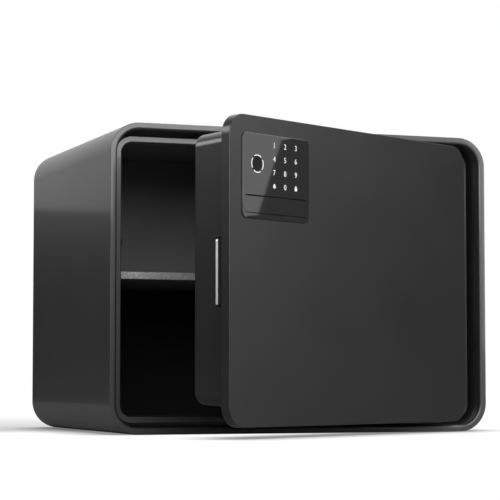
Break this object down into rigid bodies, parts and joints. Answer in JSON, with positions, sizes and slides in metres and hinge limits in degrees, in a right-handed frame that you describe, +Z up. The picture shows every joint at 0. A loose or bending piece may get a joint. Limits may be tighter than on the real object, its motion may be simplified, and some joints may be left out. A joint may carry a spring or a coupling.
{
  "type": "biometric safe",
  "caption": "Rounded steel home safe with a hinged plate door, fingerprint and touch keypad panel, sliding bolt and felt-covered shelf.",
  "frame": {"origin": "centre of the body's underside, on the surface that the safe stands on; the door stands open at rest", "axes": "+Z up, +Y from the door opening towards the rear wall, +X to the right as seen from the front, where the hinges are"},
  "size_m": [0.4, 0.4713, 0.3],
  "materials": {
    "body_paint": "matte powder coat, fine grain",
    "frame_paint": "matte powder coat, fine grain",
    "door_paint": "matte powder coat, fine grain",
    "felt_grey": "speckled grey needle felt",
    "felt_black": "black needle felt",
    "shelf_black": "matte black",
    "plug_black": "matte moulded",
    "zinc_plate": "zinc plated",
    "bolt_steel": "brushed, bright",
    "brass": "turned",
    "panel_gloss": "polished black",
    "moulded_black": "fine moulded texture",
    "light_guide": "lit white",
    "circuit_board": "solder mask",
    "cell_wrap": "satin film",
    "button_red": "satin moulded"
  },
  "bodies": {
    "safe_body": {"outer_shell": "body_paint", "back_panel": "body_paint", "door_frame": "frame_paint", "shelf_rail_left": "body_paint", "shelf_rail_right": "body_paint", "floor_mat": "felt_black", "anchor_plug_floor_left": "plug_black", "anchor_plug_floor_right": "plug_black", "anchor_plug_rear_left": "plug_black", "anchor_plug_rear_right": "plug_black", "hinge_body_leaf_upper": "frame_paint", "hinge_body_leaf_lower": "frame_paint", "hinge_pin_upper": "bolt_steel", "hinge_pin_lower": "bolt_steel"},
    "door": {"door_plate": "door_paint", "door_box": "door_paint", "hinge_door_leaf_upper": "frame_paint", "hinge_door_leaf_lower": "frame_paint", "keypad_housing": "moulded_black", "keypad_fascia": "panel_gloss", "fingerprint_sensor": "panel_gloss", "sensor_light_ring": "light_guide", "power_socket": "zinc_plate", "lock_cylinder": "bolt_steel", "bolt_guide_upper": "moulded_black", "bolt_guide_lower": "moulded_black", "gearbox_housing": "zinc_plate", "drive_motor": "bolt_steel", "control_board": "circuit_board", "battery_tray": "moulded_black", "battery_cell_1": "cell_wrap", "battery_cell_2": "cell_wrap", "battery_cell_3": "cell_wrap", "battery_cell_4": "cell_wrap", "reset_switch": "moulded_black", "hinge_side_bar": "zinc_plate"},
    "bolt": {"bolt_plate": "bolt_steel", "bolt_carriage": "zinc_plate"},
    "pinion": {"drive_pinion": "brass"},
    "key_core": {"key_plug": "brass", "release_cam": "zinc_plate"},
    "key_flap": {"key_cover": "panel_gloss"},
    "battery_door": {"battery_lid": "moulded_black"},
    "reset_key": {"reset_button": "button_red"},
    "shelf": {"shelf_board": "shelf_black", "shelf_liner": "felt_grey"}
  },
  "joints": [
    {"name": "door_hinge", "type": "hinge", "parent": "safe_body", "child": "door", "pos_m": [0.1743, -0.1374, 0.15], "axis": [0, 0, 1], "range_deg": [-28.3, 61.7]},
    {"name": "bolt_slide", "type": "slide", "parent": "door", "child": "bolt", "axis": [-0.8805, -0.4741, 0], "range_m": [0, 0.0125]},
    {"name": "pinion_spin", "type": "hinge", "parent": "door", "child": "pinion", "pos_m": [-0.0884, -0.25341, 0.1345], "axis": [-0.4741, 0.8805, 0], "range_deg": [-96, 0]},
    {"name": "key_turn", "type": "hinge", "parent": "door", "child": "key_core", "pos_m": [-0.11739, -0.28605, 0.2099], "axis": [-0.4741, 0.8805, 0], "range_deg": [-90, 0]},
    {"name": "cover_flip", "type": "hinge", "parent": "door", "child": "key_flap", "pos_m": [-0.08584, -0.29212, 0.2167], "axis": [-0.8805, -0.4741, 0], "range_deg": [0, 95]},
    {"name": "lid_slide", "type": "slide", "parent": "door", "child": "battery_door", "axis": [0.8805, 0.4741, 0], "range_m": [0, 0.062]},
    {"name": "reset_press", "type": "slide", "parent": "door", "child": "reset_key", "axis": [0.4741, -0.8805, 0], "range_m": [0, 0.0012], "stiffness_N_per_m": 200, "springref_m": -0.0005},
    {"name": "shelf_lift", "type": "slide", "parent": "safe_body", "child": "shelf", "axis": [0, 0, 1], "range_m": [0, 0.025]}
  ],
  "couplings": [
    {"joint": "pinion_spin", "follows": "bolt_slide", "rad_per_m": -133.33}
  ]
}
